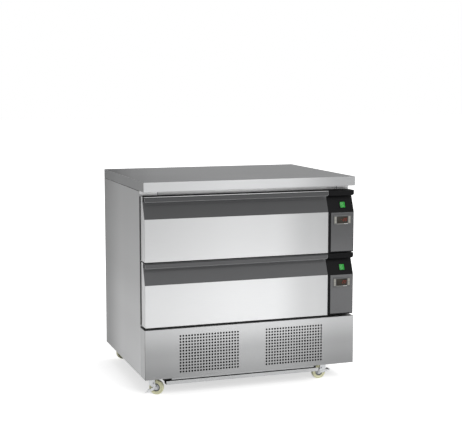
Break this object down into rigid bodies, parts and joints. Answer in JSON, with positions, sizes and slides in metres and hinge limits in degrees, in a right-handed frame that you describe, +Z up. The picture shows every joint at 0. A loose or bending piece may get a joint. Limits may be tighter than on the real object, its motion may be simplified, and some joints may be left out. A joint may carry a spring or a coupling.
{
  "type": "refrigerated drawer unit",
  "caption": "Counter-height refrigerated unit: flat worktop, full-width insulated drawers with lip grips, controls at the right, grilled plinth, casters.",
  "frame": {"origin": "on the floor, under the middle of the unit's outer box", "axes": "+Z up, the drawers and controls face -Y, +X to the right seen from the front"},
  "size_m": [0.9, 0.7, 0.86],
  "materials": {
    "stainless_sheet": "brushed",
    "worktop_steel": "satin",
    "plinth_steel": "satin",
    "zinc_steel": "zinc plated",
    "slide_steel": "zinc plated",
    "pan_steel": "polished",
    "grip_plastic": "fine textured",
    "control_plastic": "satin",
    "plate_paint": "satin",
    "controller_plastic": "satin",
    "rocker_lens": "lit, translucent",
    "gasket_rubber": "matt",
    "foam_insulation": "rigid foam",
    "core_board": "board",
    "liner_plastic": "smooth",
    "fin_aluminium": "bare",
    "cover_aluminium": "satin",
    "compressor_paint": "gloss",
    "motor_paint": "satin",
    "copper_tube": "bare copper",
    "fan_plastic": "moulded",
    "fan_aluminium": "bare",
    "gland_nylon": "moulded",
    "wheel_nylon": "moulded nylon"
  },
  "bodies": {
    "cabinet": {"worktop": "worktop_steel", "worktop_core": "core_board", "left_side_panel": "stainless_sheet", "right_side_panel": "stainless_sheet", "back_panel": "zinc_steel", "front_frame": "stainless_sheet", "cabinet_floor": "zinc_steel", "cabinet_foam": "foam_insulation", "upper_liner": "liner_plastic", "lower_liner": "liner_plastic", "base_pan": "zinc_steel", "chassis_rails": "zinc_steel", "grille_panel": "plinth_steel", "panel_screws": "zinc_steel", "upper_control_housing": "control_plastic", "lower_control_housing": "control_plastic", "upper_control_plate": "plate_paint", "lower_control_plate": "plate_paint", "upper_controller": "controller_plastic", "lower_controller": "controller_plastic", "upper_evaporator": "fin_aluminium", "lower_evaporator": "fin_aluminium", "evaporator_covers": "cover_aluminium", "compressors": "compressor_paint", "condensers": "fin_aluminium", "condenser_fan_motors": "motor_paint", "refrigerant_lines": "copper_tube", "outer_slides": "slide_steel", "caster_plates": "zinc_steel", "cable_gland": "gland_nylon"},
    "upper_slides": {"upper_middle_slides": "slide_steel"},
    "upper_drawer": {"upper_drawer_front": "stainless_sheet", "upper_drawer_foam": "foam_insulation", "upper_drawer_grip": "grip_plastic", "upper_drawer_gasket": "gasket_rubber", "upper_drawer_frame": "slide_steel", "upper_pan": "pan_steel"},
    "upper_switch": {"upper_rocker": "rocker_lens"},
    "upper_small_fan": {"upper_evaporator_fan": "fan_plastic"},
    "lower_slides": {"lower_middle_slides": "slide_steel"},
    "lower_drawer": {"lower_drawer_front": "stainless_sheet", "lower_drawer_foam": "foam_insulation", "lower_drawer_grip": "grip_plastic", "lower_drawer_gasket": "gasket_rubber", "lower_drawer_frame": "slide_steel", "lower_pan": "pan_steel"},
    "lower_switch": {"lower_rocker": "rocker_lens"},
    "lower_small_fan": {"lower_evaporator_fan": "fan_plastic"},
    "left_big_fan": {"left_condenser_fan": "fan_aluminium"},
    "right_big_fan": {"right_condenser_fan": "fan_aluminium"},
    "front_left_caster": {"front_left_fork": "zinc_steel"},
    "front_left_roller": {"front_left_wheel": "wheel_nylon"},
    "front_right_caster": {"front_right_fork": "zinc_steel"},
    "front_right_roller": {"front_right_wheel": "wheel_nylon"},
    "rear_left_caster": {"rear_left_fork": "zinc_steel"},
    "rear_left_roller": {"rear_left_wheel": "wheel_nylon"},
    "rear_right_caster": {"rear_right_fork": "zinc_steel"},
    "rear_right_roller": {"rear_right_wheel": "wheel_nylon"},
    "front_left_lever": {"front_left_brake": "zinc_steel"},
    "front_right_lever": {"front_right_brake": "zinc_steel"}
  },
  "joints": [
    {"name": "upper_drawer_slide", "type": "slide", "parent": "cabinet", "child": "upper_drawer", "axis": [0, -1, 0], "range_m": [0, 0.545]},
    {"name": "upper_middle_slide", "type": "slide", "parent": "cabinet", "child": "upper_slides", "axis": [0, -1, 0], "range_m": [0, 0.2725]},
    {"name": "upper_rocker_turn", "type": "hinge", "parent": "cabinet", "child": "upper_switch", "pos_m": [0.4, -0.33141, 0.74051], "axis": [1, 0, 0], "range_deg": [-6, 6]},
    {"name": "upper_fan_spin", "type": "hinge", "parent": "cabinet", "child": "upper_small_fan", "pos_m": [-0.31, 0.27, 0.6745], "axis": [0, 1, 0], "continuous": true},
    {"name": "lower_drawer_slide", "type": "slide", "parent": "cabinet", "child": "lower_drawer", "axis": [0, -1, 0], "range_m": [0, 0.545]},
    {"name": "lower_middle_slide", "type": "slide", "parent": "cabinet", "child": "lower_slides", "axis": [0, -1, 0], "range_m": [0, 0.2725]},
    {"name": "lower_rocker_turn", "type": "hinge", "parent": "cabinet", "child": "lower_switch", "pos_m": [0.4, -0.33141, 0.47951], "axis": [1, 0, 0], "range_deg": [-6, 6]},
    {"name": "lower_fan_spin", "type": "hinge", "parent": "cabinet", "child": "lower_small_fan", "pos_m": [-0.31, 0.27, 0.4135], "axis": [0, 1, 0], "continuous": true},
    {"name": "left_fan_spin", "type": "hinge", "parent": "cabinet", "child": "left_big_fan", "pos_m": [-0.183, -0.265, 0.162], "axis": [0, 1, 0], "continuous": true},
    {"name": "right_fan_spin", "type": "hinge", "parent": "cabinet", "child": "right_big_fan", "pos_m": [0.183, -0.265, 0.162], "axis": [0, 1, 0], "continuous": true},
    {"name": "front_left_swivel", "type": "hinge", "parent": "cabinet", "child": "front_left_caster", "pos_m": [-0.408, -0.28, 0.07], "axis": [0, 0, 1], "continuous": true},
    {"name": "front_left_roll", "type": "hinge", "parent": "front_left_caster", "child": "front_left_roller", "pos_m": [-0.38834, -0.29377, 0.03], "axis": [0.5736, 0.8192, 0], "continuous": true},
    {"name": "front_left_brake_press", "type": "hinge", "parent": "front_left_caster", "child": "front_left_lever", "pos_m": [-0.38834, -0.29377, 0.03], "axis": [0.5736, 0.8192, 0], "range_deg": [0, 36]},
    {"name": "front_right_swivel", "type": "hinge", "parent": "cabinet", "child": "front_right_caster", "pos_m": [0.346, -0.28, 0.07], "axis": [0, 0, 1], "continuous": true},
    {"name": "front_right_roll", "type": "hinge", "parent": "front_right_caster", "child": "front_right_roller", "pos_m": [0.322, -0.28, 0.03], "axis": [0, -1, 0], "continuous": true},
    {"name": "front_right_brake_press", "type": "hinge", "parent": "front_right_caster", "child": "front_right_lever", "pos_m": [0.322, -0.28, 0.03], "axis": [0, -1, 0], "range_deg": [-36, 0]},
    {"name": "rear_left_swivel", "type": "hinge", "parent": "cabinet", "child": "rear_left_caster", "pos_m": [-0.408, 0.305, 0.07], "axis": [0, 0, 1], "continuous": true},
    {"name": "rear_left_roll", "type": "hinge", "parent": "rear_left_caster", "child": "rear_left_roller", "pos_m": [-0.38482, 0.31121, 0.03], "axis": [-0.2588, 0.9659, 0], "continuous": true},
    {"name": "rear_right_swivel", "type": "hinge", "parent": "cabinet", "child": "rear_right_caster", "pos_m": [0.346, 0.305, 0.07], "axis": [0, 0, 1], "continuous": true},
    {"name": "rear_right_roll", "type": "hinge", "parent": "rear_right_caster", "child": "rear_right_roller", "pos_m": [0.32521, 0.317, 0.03], "axis": [-0.5, -0.866, 0], "continuous": true}
  ],
  "couplings": [
    {"joint": "upper_middle_slide", "follows": "upper_drawer_slide", "ratio": 0.5},
    {"joint": "lower_middle_slide", "follows": "lower_drawer_slide", "ratio": 0.5}
  ]
}
